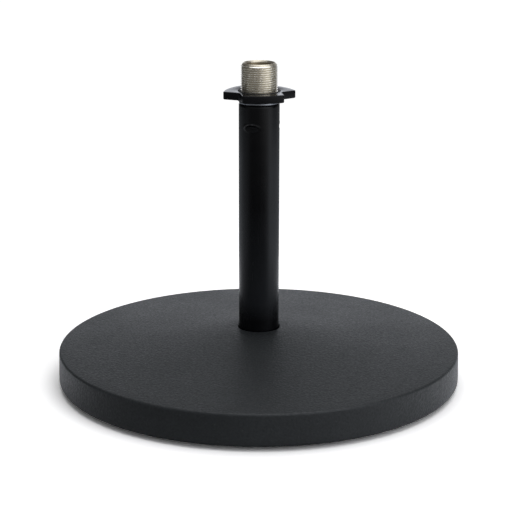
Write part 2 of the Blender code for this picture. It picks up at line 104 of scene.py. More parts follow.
# -------------------------------------------------------------------- mesh helpers
def add_mesh(name, verts, faces):
    mesh = bpy.data.meshes.new(name)
    mesh.from_pydata([(x * MM, y * MM, z * MM) for x, y, z in verts], [], faces)
    mesh.validate()
    obj = bpy.data.objects.new(name, mesh)
    scene.collection.objects.link(obj)
    return obj


def add_bmesh(name, bm):
    """Object from a bmesh, which is freed."""
    mesh = bpy.data.meshes.new(name)
    bm.to_mesh(mesh)
    bm.free()
    obj = bpy.data.objects.new(name, mesh)
    scene.collection.objects.link(obj)
    return obj


def turn_about_axis(bm, angle):
    bmesh.ops.rotate(bm, cent=(0, 0, 0), verts=bm.verts,
                     matrix=Matrix.Rotation(angle, 3, "Z"))


def orient(obj):
    """Point the normals outwards."""
    bm = bmesh.new()
    bm.from_mesh(obj.data)
    bmesh.ops.recalc_face_normals(bm, faces=bm.faces)
    if bm.calc_volume(signed=True) < 0:
        bmesh.ops.reverse_faces(bm, faces=bm.faces)
    bm.to_mesh(obj.data)
    bm.free()


def smooth(obj, angle=40.0):
    obj.data.shade_smooth()
    obj.data.set_sharp_from_angle(angle=math.radians(angle))


def loop_grid(name, columns, angle=40.0, closed=True):
    """Surface through equal-length closed loops; an open run gets end caps."""
    n, m = len(columns), len(columns[0])
    verts = [p for col in columns for p in col]
    faces = []
    for i in range(n if closed else n - 1):
        j = (i + 1) % n
        for k in range(m):
            l = (k + 1) % m
            faces.append((i * m + k, j * m + k, j * m + l, i * m + l))
    if not closed:
        faces.append(tuple(range(m)))
        faces.append(tuple((n - 1) * m + k for k in reversed(range(m))))
    obj = add_mesh(name, verts, faces)
    orient(obj)
    smooth(obj, angle)
    return obj


def arc(cx, cz, r, start, end, steps):
    """Points on an arc between two angles in degrees."""
    points = []
    for i in range(steps + 1):
        a = math.radians(start + (end - start) * i / steps)
        points.append((cx + r * math.cos(a), cz + r * math.sin(a)))
    return points


def washer_section(r_in, r_out, z0, z1, soft, steps):
    """Rectangle in (r, z) with rounded corners."""
    return (arc(r_out - soft, z1 - soft, soft, 90.0, 0.0, steps)
            + arc(r_out - soft, z0 + soft, soft, 0.0, -90.0, steps)
            + arc(r_in + soft, z0 + soft, soft, 270.0, 180.0, steps)
            + arc(r_in + soft, z1 - soft, soft, 180.0, 90.0, steps))


def levels(start, end, spacing):
    """Even heights from start to end, about one spacing apart."""
    count = int(abs(end - start) / spacing)
    return [start + (end - start) * i / count for i in range(count + 1)]


def turned(name, profile, steps, angle=40.0, at=(0.0, 0.0)):
    """Body of revolution from a closed (r, z) loop that may touch the axis."""
    verts, faces, rings = [], [], []
    for r, z in profile:
        if r < 1e-6:
            rings.append([len(verts)] * steps)
            verts.append((at[0], at[1], z))
        else:
            first = len(verts)
            for i in range(steps):
                a = TAU * i / steps
                verts.append((at[0] + r * math.cos(a), at[1] + r * math.sin(a), z))
            rings.append(list(range(first, first + steps)))
    count = len(profile)
    for k in range(count):
        l = (k + 1) % count
        if profile[k][0] < 1e-6 and profile[l][0] < 1e-6:
            continue
        for i in range(steps):
            j = (i + 1) % steps
            quad = [rings[k][i], rings[k][j], rings[l][j], rings[l][i]]
            faces.append(tuple(dict.fromkeys(quad)))      # a triangle at the axis
    obj = add_mesh(name, verts, faces)
    orient(obj)
    smooth(obj, angle)
    return obj


def drop(obj):
    mesh = obj.data
    bpy.data.objects.remove(obj, do_unlink=True)
    if mesh.users == 0:
        bpy.data.meshes.remove(mesh)


def apply_modifiers(obj):
    bpy.context.view_layer.update()
    graph = bpy.context.evaluated_depsgraph_get()
    mesh = bpy.data.meshes.new_from_object(obj.evaluated_get(graph), depsgraph=graph)
    obj.modifiers.clear()
    obj.data = mesh


def boolean(obj, others, operation, angle):
    """Combine with the other objects and remove them."""
    for other in others:
        mod = obj.modifiers.new("cut", "BOOLEAN")
        mod.operation = operation
        mod.solver = "EXACT"
        mod.object = other
    apply_modifiers(obj)
    for other in others:
        drop(other)
    smooth(obj, angle)


def smoothstep(a, b, x):
    t = min(1.0, max(0.0, (x - a) / (b - a)))
    return t * t * (3.0 - 2.0 * t)


# -------------------------------------------------------------------- node helpers
BLACK = (0.0, 0.0, 0.0)


class Nodes:
    """Small helper around a node tree; methods return output sockets."""

    def __init__(self, tree):
        self.tree = tree

    def feed(self, socket, value):
        """Link another socket, or set a plain value; colours are RGB."""
        if isinstance(value, bpy.types.NodeSocket):
            self.tree.links.new(value, socket)
        else:
            socket.default_value = (*value, 1.0) if socket.type == "RGBA" else value

    def new(self, kind, inputs=None, **settings):
        """Node with its settings made first, as they decide which inputs it has."""
        node = self.tree.nodes.new(kind)
        for key, value in settings.items():
            setattr(node, key, value)
        for key, value in (inputs or {}).items():
            self.feed(node.inputs[key], value)
        return node

    def math(self, operation, *values):
        node = self.new("ShaderNodeMath", dict(enumerate(values)), operation=operation)
        return node.outputs[0]

    def add(self, a, b):
        return self.math("ADD", a, b)

    def mul(self, a, b):
        return self.math("MULTIPLY", a, b)

    def split(self, vector):
        return self.new("ShaderNodeSeparateXYZ", {0: vector}).outputs

    def radius(self, x, y):
        return self.math("SQRT", self.add(self.mul(x, x), self.mul(y, y)))

    def bearing(self, x, y):
        """Angle round +Z from -Y, positive towards +X."""
        return self.math("ARCTAN2", x, self.mul(y, -1.0))

    def ramp(self, factor, stops, interpolation="LINEAR"):
        """Colour ramp; stops are (position, grey value or RGB)."""
        node = self.new("ShaderNodeValToRGB", {"Fac": factor})
        ramp = node.color_ramp
        ramp.interpolation = interpolation
        while len(ramp.elements) > 1:
            ramp.elements.remove(ramp.elements[-1])
        for i, (position, value) in enumerate(stops):
            rgb = (value,) * 3 if isinstance(value, (int, float)) else value
            element = ramp.elements[0] if i == 0 else ramp.elements.new(position)
            element.position = position
            element.color = (*rgb, 1.0)
        return node.outputs["Color"]

    def mix(self, factor, a, b):
        """Colour a where the factor is 0, b where it is 1."""
        # inputs 6 and 7 are the colour pair among several named A and B
        node = self.new("ShaderNodeMix", {0: factor, 6: BLACK, 7: BLACK}, data_type="RGBA")
        self.feed(node.inputs[6], a)
        self.feed(node.inputs[7], b)
        return node.outputs[2]

    def mix_shader(self, factor, a, b):
        return self.new("ShaderNodeMixShader", {0: factor, 1: a, 2: b}).outputs[0]

    def map_range(self, value, across, to=(0.0, 1.0), **settings):
        node = self.new("ShaderNodeMapRange", {
            "Value": value,
            "From Min": across[0], "From Max": across[1],
            "To Min": to[0], "To Max": to[1]}, **settings)
        return node.outputs["Result"]


class Material(Nodes):
    """A material's nodes around its Principled BSDF."""

    def __init__(self, name):
        self.mat = bpy.data.materials.new(name)
        self.mat.use_nodes = True
        super().__init__(self.mat.node_tree)
        self.bsdf = self.tree.nodes["Principled BSDF"]

    @functools.cached_property
    def coords(self):
        return self.new("ShaderNodeTexCoord").outputs["Object"]

    def stretched(self, scale):
        node = self.new("ShaderNodeMapping", {"Scale": scale, "Vector": self.coords})
        return node.outputs["Vector"]

    def noise(self, scale, detail=2.0, rough=0.5, distortion=0.0, vector=None):
        node = self.new("ShaderNodeTexNoise", {
            "Scale": scale, "Detail": detail, "Roughness": rough,
            "Distortion": distortion,
            "Vector": self.coords if vector is None else vector})
        return node.outputs["Fac"]

    def voronoi(self, scale):
        node = self.new("ShaderNodeTexVoronoi", {"Scale": scale, "Vector": self.coords})
        return node.outputs["Distance"]

    def soft_voronoi(self, scale, smoothness):
        node = self.new("ShaderNodeTexVoronoi", {
            "Scale": scale, "Smoothness": smoothness, "Vector": self.coords},
            feature="SMOOTH_F1")
        return node.outputs["Distance"]

    def bump(self, height, strength, distance, normal=None):
        node = self.new("ShaderNodeBump", {
            "Strength": strength, "Distance": distance, "Height": height})
        if normal is not None:
            self.feed(node.inputs["Normal"], normal)
        return node.outputs["Normal"]

    def surface(self, inputs):
        """Feed the Principled BSDF by input name and return the material."""
        for key, value in inputs.items():
            self.feed(self.bsdf.inputs[key], value)
        return self.mat


# ----------------------------------------------------------------------- materials
MIDDLE = (0.3, 0.7)                    # the range that most of a noise falls in


def powder_coat():
    """Fine textured charcoal powder coat over a casting."""
    m = Material("powder_coat")
    grain = m.noise(scale=1050.0, detail=3.0, rough=0.60)    # orange peel, about 1 mm
    fine = m.noise(scale=3600.0)
    pits = m.soft_voronoi(scale=900.0, smoothness=0.7)
    patch = m.noise(scale=38.0, detail=4.0, rough=0.55)      # slow clouds
    swell = m.noise(scale=11.0)
    speck = m.voronoi(scale=260.0)                           # scattered lighter grains
    grain_share, patch_share = 0.72, 0.28
    dark, light = (0.0072, 0.0086, 0.0088), (0.0145, 0.0166, 0.0170)
    colour = m.ramp(m.add(m.mul(grain, grain_share), m.mul(patch, patch_share)),
                    [(0.32, dark), (0.68, light)])
    dotted = m.mix(m.ramp(speck, [(0.0, 0.55), (0.10, 0.0)]), colour, (0.046, 0.050, 0.050))
    rough = m.add(m.map_range(grain, across=MIDDLE, to=(0.60, 0.40)),
                  m.map_range(patch, across=MIDDLE, to=(-0.03, 0.03)))
    grain_height, pit_height, fine_height = 1.0, 0.55, 0.22
    height = m.add(m.mul(grain, grain_height), m.mul(pits, pit_height))
    height = m.add(height, m.mul(fine, fine_height))
    swollen = m.bump(swell, strength=0.25, distance=0.0012)
    return m.surface({
        "Base Color": dotted,
        "Roughness": rough,
        "Normal": m.bump(height, strength=0.62, distance=0.00022, normal=swollen),
        "Specular IOR Level": 0.40})


def tube_paint():
    """Satin black stove enamel on a drawn steel tube."""
    m = Material("satin_black_tube")
    peel = m.noise(scale=620.0)
    slow = m.noise(scale=70.0, detail=3.0)
    speck = m.voronoi(scale=900.0)
    drawn = m.noise(scale=900.0, rough=0.6, vector=m.stretched((1.0, 1.0, 0.06)))
    fray = m.noise(scale=700.0, detail=4.0, rough=0.65)
    colour = m.ramp(slow, [(0.3, (0.0007, 0.0007, 0.0010)), (0.7, (0.0012, 0.0012, 0.0016))])
    # a lighter band low on it is a painted reflection of the bright floor in front of the
    # base
    x, y, z = m.split(m.coords)
    paler_share = m.mul(m.map_range(z, across=(0.029, 0.037)),
                 m.map_range(z, across=(0.043, 0.080), to=(1.0, 0.0)))
    tube_with_painted_reflection = m.mix(paler_share, colour, (0.0086, 0.0094, 0.0104))
    # and the enamel is rubbed thin on the raised lips of the crimps
    lip = m.map_range(m.radius(x, y), across=((TUBE_R + 0.02) * MM, (TUBE_R + 0.09) * MM))
    worn = m.mul(lip, m.ramp(fray, [(0.35, 0.25), (0.60, 1.0)]))
    peeled = m.bump(peel, strength=0.16, distance=0.00009)
    dots = m.ramp(speck, [(0.0, 1.0), (0.10, 0.0)])
    return m.surface({
        "Base Color": m.mix(worn, tube_with_painted_reflection, (0.034, 0.033, 0.034)),
        "Roughness": m.add(m.map_range(slow, across=MIDDLE, to=(0.20, 0.28)),
                           m.map_range(drawn, across=MIDDLE, to=(-0.02, 0.03))),
        "Normal": m.bump(dots, strength=0.05, distance=0.00005, normal=peeled),
        "Specular IOR Level": 0.15})


def nickel():
    """Satin nickel plate over turned brass; duller in the thread roots, which also get
    painted shade.
    """
    m = Material("nickel_plate")
    x, y, z = m.split(m.coords)
    radius = m.radius(x, y)
    crest = m.map_range(radius, across=((THREAD_R - THREAD_DEPTH) * MM,
                                        (THREAD_R - 0.08) * MM))
    cloud = m.noise(scale=160.0, detail=4.0, rough=0.6)
    fine = m.noise(scale=2600.0, rough=0.6)
    plate = m.ramp(cloud, [(0.25, (0.89, 0.855, 0.77)), (0.75, (0.97, 0.94, 0.87))])
    # painted shade: the thread roots are coloured darker than the crests
    shade = m.mix(crest, (0.56, 0.53, 0.46), (1.0, 1.0, 1.0))
    shaded = m.new("ShaderNodeMix", {0: 1.0, 6: plate, 7: shade},
                   data_type="RGBA", blend_type="MULTIPLY").outputs[2]
    # the bore below its countersink is coloured dark brown, a painted shade deep in the bore
    mouth = nipple_high.z * MM
    inside = m.mul(m.map_range(radius, across=(5.97 * MM, 6.02 * MM), to=(1.0, 0.0)),
                   m.map_range(z, across=(mouth - 0.0010, mouth - 0.0007), to=(1.0, 0.0)))
    with_painted_bore_shade = m.mix(inside, shaded, (0.20, 0.16, 0.10))
    # the flange and what is below it are coloured a dim blue-grey, a painted shade under the
    # lock ring
    below = m.map_range(z, across=(0.1253, 0.1254), to=(1.0, 0.0))
    lines = m.noise(scale=9000.0, detail=1.0, vector=m.stretched((0.02, 0.02, 1.0)))
    lined = m.bump(lines, strength=0.10, distance=0.00003)
    return m.surface({
        "Base Color": m.mix(below, with_painted_bore_shade, (0.165, 0.172, 0.185)),
        "Metallic": 1.0,
        "Roughness": m.add(m.map_range(cloud, across=MIDDLE, to=(0.20, 0.30)),
                           m.map_range(crest, across=(0.0, 1.0), to=(0.16, 0.0))),
        "Normal": m.bump(fine, strength=0.08, distance=0.00004, normal=lined)})


def ring_coat():
    """Black coated zinc die casting, semi-gloss, a little rubbed on its edges."""
    m = Material("black_lock_ring")
    grain = m.noise(scale=1500.0, detail=3.0, rough=0.55)
    slow = m.noise(scale=140.0, detail=3.0)
    fray = m.noise(scale=900.0, detail=4.0, rough=0.65)
    colour = m.ramp(slow, [(0.3, (0.0020, 0.0020, 0.0025)), (0.7, (0.0028, 0.0028, 0.0034))])
    # an edge is where the rounded normal leaves the true one
    normal = m.new("ShaderNodeNewGeometry").outputs["Normal"]
    rounded = m.new("ShaderNodeBevel", {"Radius": 0.0005}, samples=6).outputs["Normal"]
    match = m.new("ShaderNodeVectorMath", {0: normal, 1: rounded}, operation="DOT_PRODUCT")
    edge = m.map_range(match.outputs["Value"], across=(0.995, 0.90))
    worn = m.mul(edge, m.ramp(fray, [(0.50, 0.0), (0.66, 0.75)]))
    # its upward flat faces are rubbed smoother than its sides
    flat = m.map_range(m.split(normal)["Z"], across=(0.60, 0.95))
    flat_gloss = 0.14
    rough = m.add(m.map_range(slow, across=MIDDLE, to=(0.24, 0.34)),
                  m.map_range(grain, across=MIDDLE, to=(-0.03, 0.03)))
    return m.surface({
        "Base Color": m.mix(worn, colour, (0.060, 0.058, 0.055)),
        "Roughness": m.math("SUBTRACT", rough, m.mul(flat, flat_gloss)),
        "Normal": m.bump(grain, strength=0.20, distance=0.00007),
        "Specular IOR Level": m.map_range(flat, across=(0.0, 1.0), to=(0.10, 0.12))})


def rubber():
    """Dusty moulded black rubber."""
    m = Material("moulded_rubber")
    grain = m.noise(scale=2200.0, detail=3.0, rough=0.6)
    paler_share = m.noise(scale=260.0, detail=5.0, rough=0.6)
    return m.surface({
        "Base Color": m.ramp(paler_share, [(0.35, (0.011, 0.011, 0.011)),
                                    (0.8, (0.024, 0.023, 0.022))]),
        "Roughness": m.map_range(grain, across=MIDDLE, to=(0.74, 0.90)),
        "Normal": m.bump(grain, strength=0.35, distance=0.00012),
        "Specular IOR Level": 0.35})


def zinc():
    """Bright zinc plate with the faint yellow-blue clouding of passivation."""
    m = Material("zinc_plate")
    cloud = m.noise(scale=240.0, detail=4.0, rough=0.6)
    fine = m.noise(scale=3000.0, rough=0.6)
    return m.surface({
        "Base Color": m.ramp(cloud, [(0.25, (0.46, 0.50, 0.55)), (0.5, (0.60, 0.61, 0.61)),
                                     (0.75, (0.64, 0.60, 0.50))]),
        "Metallic": 1.0,
        "Roughness": m.map_range(cloud, across=MIDDLE, to=(0.28, 0.44)),
        "Normal": m.bump(fine, strength=0.15, distance=0.00005)})


def fibre():
    """Black vulcanised fibre with matted strands."""
    m = Material("vulcanised_fibre")
    strands = m.noise(scale=1300.0, detail=6.0, rough=0.7, distortion=1.5)
    return m.surface({
        "Base Color": m.ramp(strands, [(0.3, (0.010, 0.010, 0.010)),
                                       (0.7, (0.024, 0.023, 0.022))]),
        "Roughness": m.map_range(strands, across=MIDDLE, to=(0.66, 0.82)),
        "Normal": m.bump(strands, strength=0.4, distance=0.0001)})


MATERIALS = {                          # by slot
    "cast_base": powder_coat(),
    "tube_paint": tube_paint(),
    "nickel": nickel(),
    "lock_ring": ring_coat(),
    "rubber": rubber(),
    "zinc_steel": zinc(),
    "fibre": fibre(),
}


def dress(obj, slot, body="stand"):
    """Give a piece its material and body; it replaces the CAD piece it is named for."""
    obj.data.materials.clear()
    obj.data.materials.append(MATERIALS[slot])
    for polygon in obj.data.polygons:
        polygon.material_index = 0
    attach(obj, body)
    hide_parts(obj.name.removesuffix("_fine"))


# ----------------------------------------------------------------------- cast base
RIM_TOP_ROUND, RIM_LOW_ROUND, MOUTH_ROUND = 1.1, 1.7, 0.6
ROOF = 6.0                             # depth of the ceiling below the top face
HUB_FOOT_Z = 10.8
BOLT_HOLE_R = 4.4

# seat and screw hole of a foot: radius, height
SEAT_PROFILE = [(0.0, -2.0), (7.95, -2.0), (7.95, 1.5), (7.25, 2.2),
                (7.25, 4.0), (2.15, 4.0), (2.15, 11.6), (0.0, 11.6)]

RIB_START, RIB_END = 14.5, 66.9        # radii
RIB_LOW = 5.2
RIB_COVER = 3.2                        # from the rib's top to the base's top face
RIB_HALF_TOP, RIB_HALF_LOW = 2.35, 1.75    # half widths; the difference is draft
RIB_ROUND = 1.0


def top_z(r):
    """Height of the sloping top face."""
    t = (r - SOCKET_R) / (BASE_R - 1.0 - SOCKET_R)
    return HUB_TOP + (WALL_TOP - HUB_TOP) * t


def ceiling_z(r):
    return top_z(r) - ROOF


def base_profile():
    # socket mouth, top face and rim
    mouth_r = SOCKET_R + MOUTH_ROUND
    profile = arc(mouth_r, HUB_TOP - MOUTH_ROUND - 0.05, MOUTH_ROUND, 180.0, 96.0, 6)
    for i in range(1, 12):
        r = mouth_r + (BASE_R - RIM_TOP_ROUND - SOCKET_R - MOUTH_ROUND) * i / 12.0
        profile.append((r, top_z(r)))
    profile += arc(BASE_R - RIM_TOP_ROUND, WALL_TOP - RIM_TOP_ROUND, RIM_TOP_ROUND,
                   84.0, 0.0, 10)
    for i in range(1, 6):
        t = i / 6.0
        drop_z = FLOOR_GAP + RIM_LOW_ROUND - WALL_TOP + RIM_TOP_ROUND
        profile.append((BASE_R + (BASE_LOW_R - BASE_R) * t,
                        WALL_TOP - RIM_TOP_ROUND + drop_z * t))
    profile += arc(BASE_LOW_R - RIM_LOW_ROUND, FLOOR_GAP + RIM_LOW_ROUND, RIM_LOW_ROUND,
                   0.0, -90.0, 10)
    # underside: flat band, recess wall, ceiling and hub
    profile += [(78.0, FLOOR_GAP), (66.7, FLOOR_GAP)]
    profile += arc(66.5, FLOOR_GAP + 1.0, 1.0, -90.0, -176.0, 5)
    profile += arc(60.5, ceiling_z(61.5) - 3.6, 3.8, 4.0, 84.0, 7)
    profile += [(r, ceiling_z(r)) for r in (52.0, 41.0, 30.0)]
    profile += arc(21.2, ceiling_z(21.2) - 3.6, 3.6, 96.0, 176.0, 7)
    profile += arc(16.0, HUB_FOOT_Z + 1.0, 1.0, -4.0, -90.0, 5)
    # bolt hole and socket
    profile += [(12.0, HUB_FOOT_Z), (BOLT_HOLE_R + 0.8, HUB_FOOT_Z),
                (BOLT_HOLE_R, HUB_FOOT_Z + 0.7), (BOLT_HOLE_R, SOCKET_FLOOR),
                (SOCKET_R, SOCKET_FLOOR)]
    return profile


def build_rib(i):
    """Radial rib under the base, rounded along its free edge."""
    bm = bmesh.new()
    bmesh.ops.create_cube(bm, size=1.0)
    for v in bm.verts:
        x = RIB_END if v.co.x > 0 else RIB_START
        top = v.co.z > 0
        v.co.z = (top_z(x) - RIB_COVER if top else RIB_LOW) * MM
        half = RIB_HALF_TOP if top else RIB_HALF_LOW
        v.co.y = (half if v.co.y > 0 else -half) * MM
        v.co.x = x * MM
    free_edges = [e for e in bm.edges
                  if all(v.co.z < 6.0 * MM for v in e.verts)
                  and abs(e.verts[0].co.x - e.verts[1].co.x) > 0.01]
    bmesh.ops.bevel(bm, geom=free_edges, offset=RIB_ROUND * MM, segments=3, affect="EDGES")
    turn_about_axis(bm, math.radians(30.0 + 60.0 * i))
    rib = add_bmesh(f"rib_{i}", bm)
    orient(rib)
    return rib


def build_base():
    base = turned("base_casting_fine", base_profile(), 240, 32.0)
    boolean(base, [build_rib(i) for i in range(6)], "UNION", 32.0)
    seats = [turned(f"seat_{i}", SEAT_PROFILE, 48, 30.0, (x, y)) for i, x, y in foot_places()]
    boolean(base, seats, "DIFFERENCE", 32.0)
    dress(base, "cast_base")


# ---------------------------------------------------------------------------- tube
CRIMP_Z = 114.5
CRIMP_DEPTH = 0.46
CRIMP_HALF_W, CRIMP_HALF_H = 3.1, 1.45
CRIMP_ANGLES = [math.radians(a) for a in (248.0, 8.0, 128.0)]
CRIMP_BAND = 3.0                       # half height of the finely stepped band


def press_crimps(r, a, z):
    """Tube radius after three punched dimples, each with a slightly raised lip."""
    for mark in CRIMP_ANGLES:
        turn = (a - mark + math.pi) % TAU - math.pi
        u = turn * TUBE_R / CRIMP_HALF_W
        v = (z - CRIMP_Z) / CRIMP_HALF_H
        d = math.sqrt(u * u + v * v)
        if d < 1.8:
            r -= CRIMP_DEPTH * (1.0 - smoothstep(0.45, 1.0, d))
            # the lip is uneven round the dimple, and a crease crosses its middle
            lip = 0.55 + 0.45 * math.cos(math.atan2(v, -u) - 0.9)
            r += 0.10 * lip * math.exp(-((d - 1.16) / 0.20) ** 2)
            r += 0.07 * math.exp(-(v / 0.16) ** 2) * (1.0 - smoothstep(0.5, 0.9, d))
    return r


def tube_levels():
    """Heights of the outer wall's rows, from the top down."""
    rows = [TUBE_TOP - depth for depth in (0.06, 0.2, 0.4, 1.2)]
    z = TUBE_TOP - 3.0
    while z > CRIMP_Z + CRIMP_BAND:
        rows.append(z)
        z -= 1.2
    rows += [CRIMP_Z + CRIMP_BAND - 0.125 * i for i in range(49)]
    below = CRIMP_Z - CRIMP_BAND
    rows += [below - (below - TUBE_LOW - 0.8) * i / 20.0 for i in range(1, 21)]
    return rows + [TUBE_LOW + 0.35]


def build_tube():
    rows = tube_levels()
    edge_inset = {0: 0.30, 1: 0.10}    # the top rows round the edge
    inner = [(TUBE_R - 0.35, TUBE_LOW), (TUBE_IN_R, TUBE_LOW), (TUBE_IN_R, TUBE_LOW + 30.0),
             (TUBE_IN_R, TUBE_TOP - 0.2), (TUBE_IN_R + 0.2, TUBE_TOP),
             (TUBE_R - 0.36, TUBE_TOP)]
    steps = 192
    columns = []
    for i in range(steps):
        a = TAU * i / steps
        loop = [(press_crimps(TUBE_R - edge_inset.get(k, 0.0), a, z), z)
                for k, z in enumerate(rows)]
        columns.append([(r * math.cos(a), r * math.sin(a), z) for r, z in loop + inner])
    dress(loop_grid("shaft_tube_fine", columns, 38.0), "tube_paint")


# ------------------------------------------------------------------ thread, nipple
THREAD_SOFT = 0.06                     # how far the flanks are eased


def thread_wave(z, a, pitch, major, minor, crest_share=0.125, root_share=0.25):
    """Radius of a right-hand 60 degree thread at height z and angle a."""
    u = (z / pitch - a / TAU) % 1.0
    d = abs(u - 0.5) * 2.0             # 0 at the crest's middle, 1 at the root's
    low = crest_share
    high = 1.0 - root_share
    t = min(1.0, max(0.0, (d - low) / (high - low)))
    t = (1.0 - THREAD_SOFT) * t + THREAD_SOFT * t * t * (3.0 - 2.0 * t)
    return major + (minor - major) * t


def build_nipple():
    top, low = nipple_high.z, nipple_low.z
    bore, shank, flange = 5.9, 7.05, nipple_high.x
    flange_low, flange_top, neck = 124.4, 125.2, 7.25
    thread_low = 125.7
    minor = THREAD_R - THREAD_DEPTH
    rows = levels(top, thread_low, PITCH / 20.0)
    # below the thread: neck, flange, shank, then the bore up to its countersink
    rest = [(neck, flange_top + 0.12), (neck + 0.12, flange_top),
            (flange - 0.14, flange_top), (flange - 0.04, flange_top - 0.05),
            (flange, flange_top - 0.16), (flange, flange_low + 0.14),
            (flange - 0.05, flange_low + 0.04), (flange - 0.14, flange_low),
            (shank, flange_low), (shank, low + 0.6), (shank - 0.4, low),
            (bore + 0.2, low), (bore, low + 0.2), (bore, low + 12.0),
            (bore, top - 0.78), (bore + 0.04, top - 0.68), (6.50, top - 0.08), (6.60, top)]
    steps = 144
    columns = []
    for i in range(steps):
        a = TAU * i / steps
        loop = []
        for z in rows:
            # lead-in chamfer at the mouth, run-out at the foot
            lead_in = THREAD_R - 1.2 + (top - z)
            run_out = neck + (z - thread_low) * 1.2
            r = min(thread_wave(z, a, PITCH, THREAD_R, minor), lead_in, max(neck, run_out))
            loop.append((r, z))
        columns.append([(r * math.cos(a), r * math.sin(a), z) for r, z in loop + rest])
    dress(loop_grid("thread_nipple_fine", columns, 34.0), "nickel")


# ----------------------------------------------------------------------- lock ring
LOBE_HALF_W, LOBE_TIP = 8.9, 14.5
LOBE_END_R, LOBE_CORNER_R = 26.0, 1.3
COLLAR_R, COLLAR_FILLET = 10.7, 1.0
LOBE_ANGLES = (38.0, 158.0, 278.0)

PLATE_THICK, PLATE_EDGE = 3.3, 0.42
RING_HUB_R = 9.5
SEAT_R, SEAT_Z = 9.15, 128.8           # smooth counterbore above the thread
RING_MAJOR, RING_MINOR = THREAD_R + 0.20, 7.63


def outline_arc(cx, cy, r, start, end, steps, first=0, sign=1.0):
    """Arc points with normals; sign -1 points the normals at the centre."""
    run = []
    for i in range(first, steps + 1):
        a = math.radians(start + (end - start) * i / steps)
        c, s = math.cos(a), math.sin(a)
        run.append(((cx + r * c, cy + r * s), (sign * c, sign * s)))
    return run


def lobed_outline():
    """Outline points with their outward normals, anticlockwise."""
    fillet_y = LOBE_HALF_W + COLLAR_FILLET
    fillet_x = math.sqrt((COLLAR_R + COLLAR_FILLET) ** 2 - fillet_y ** 2)
    collar_start = math.degrees(math.atan2(fillet_y, fillet_x))
    end_x = LOBE_TIP - LOBE_END_R
    corner_y = LOBE_HALF_W - LOBE_CORNER_R
    corner_x = end_x + math.sqrt((LOBE_END_R - LOBE_CORNER_R) ** 2 - corner_y ** 2)
    turn = math.degrees(math.atan2(corner_y, corner_x - end_x))
    # half a lobe, from its tip to the middle of the collar between two lobes
    half = outline_arc(end_x, 0.0, LOBE_END_R, 0.0, turn, 14)
    half += outline_arc(corner_x, corner_y, LOBE_CORNER_R, turn, 90.0, 8, first=1)
    half += [((corner_x + (fillet_x - corner_x) * i / 8.0, LOBE_HALF_W), (0.0, 1.0))
             for i in range(1, 8)]
    half += outline_arc(fillet_x, fillet_y, COLLAR_FILLET, 270.0, collar_start + 180.0, 6,
                        sign=-1.0)
    half += outline_arc(0.0, 0.0, COLLAR_R, collar_start, 60.0, 3, first=1)
    lobe = [((x, -y), (nx, -ny)) for (x, y), (nx, ny) in reversed(half[1:-1])] + half
    outline = []
    for angle in LOBE_ANGLES:
        c, s = math.cos(math.radians(angle)), math.sin(math.radians(angle))
        for (x, y), (nx, ny) in lobe:
            outline.append(((x * c - y * s, x * s + y * c),
                            (nx * c - ny * s, nx * s + ny * c)))
    return outline


def ring_column(point, normal, rows):
    """Closed loop through the ring at one point of its outline."""
    (x, y), (nx, ny) = point, normal
    a = math.atan2(y, x)
    loop = []

    def polar(r, z):
        loop.append((r * math.cos(a), r * math.sin(a), z))

    def edge(turn, z):
        """Point of the plate's rounded edge, whose quarter circle is centred at z."""
        t = math.radians(turn)
        inset = PLATE_EDGE - PLATE_EDGE * math.cos(t)
        loop.append((x - nx * inset, y - ny * inset, z + PLATE_EDGE * math.sin(t)))

    # thread, chamfered at both ends, and the seat above it
    for z in rows:
        r = thread_wave(z, a, PITCH, RING_MAJOR, RING_MINOR, 0.10, 0.30)
        polar(max(r, RING_MINOR + 0.35 - (z - RING_LOW),
                  RING_MINOR + 0.35 - (SEAT_Z - z)), z)
    polar(SEAT_R, SEAT_Z)
    polar(SEAT_R, RING_TOP - 0.12)
    polar(SEAT_R + 0.06, RING_TOP - 0.03)
    polar(SEAT_R + 0.12, RING_TOP)
    # the lobed plate's edge
    plate_low = RING_TOP - PLATE_THICK
    for i in range(7):
        edge(90.0 - 90.0 * i / 6, RING_TOP - PLATE_EDGE)
    for i in range(7):
        edge(-90.0 * i / 6, plate_low + PLATE_EDGE)
    # the round hub under it
    polar(RING_HUB_R + 0.18, plate_low)
    polar(RING_HUB_R + 0.05, plate_low - 0.06)
    polar(RING_HUB_R, plate_low - 0.2)
    for r, z in arc(RING_HUB_R - 0.3, RING_LOW + 0.3, 0.3, 0.0, -90.0, 4):
        polar(r, z)
    return loop


def build_ring():
    rows = levels(RING_LOW, SEAT_Z, PITCH / 16.0)
    columns = [ring_column(point, normal, rows) for point, normal in lobed_outline()]
    dress(loop_grid("lock_ring_fine", columns, 38.0), "lock_ring", "ring")


# --------------------------------------------------------------------- small parts
def build_friction_washer():
    section = washer_section(8.12, friction_high.x, friction_low.z, friction_high.z, 0.08, 4)
    dress(turned("friction_washer_fine", section, 128), "fibre", "ring_carriage")


def build_flat_washer():
    section = washer_section(4.25, flat_high.x, flat_low.z, flat_high.z, 0.18, 4)
    dress(turned("flat_washer_fine", section, 96), "zinc_steel")


def build_spring_washer():
    """Split washer: a square-section ring with a slanted gap."""
    z0, z1 = spring_low.z, spring_high.z
    section = washer_section(4.2, spring_high.y, z0, z1, 0.14, 3)
    gap_at, gap_half = 200.0, 4.0      # degrees
    slant = 0.035                      # radians per mm of height
    start, sweep = math.radians(gap_at + gap_half), math.radians(360.0 - 2.0 * gap_half)
    steps = 96
    columns = []
    for i in range(steps + 1):
        column = []
        for r, z in section:
            lean = (z - 0.5 * (z0 + z1)) * slant
            a = start + sweep * i / steps + lean
            column.append((r * math.cos(a), r * math.sin(a), z))
        columns.append(column)
    dress(loop_grid("spring_washer_fine", columns, closed=False), "zinc_steel")


BOLT_HEAD_TOP = 7.3
BOLT_FLATS = 13.0                      # across the hexagon
BOLT_PITCH, BOLT_MAJOR = 1.25, 3.9
BOLT_MINOR = BOLT_MAJOR - 0.72


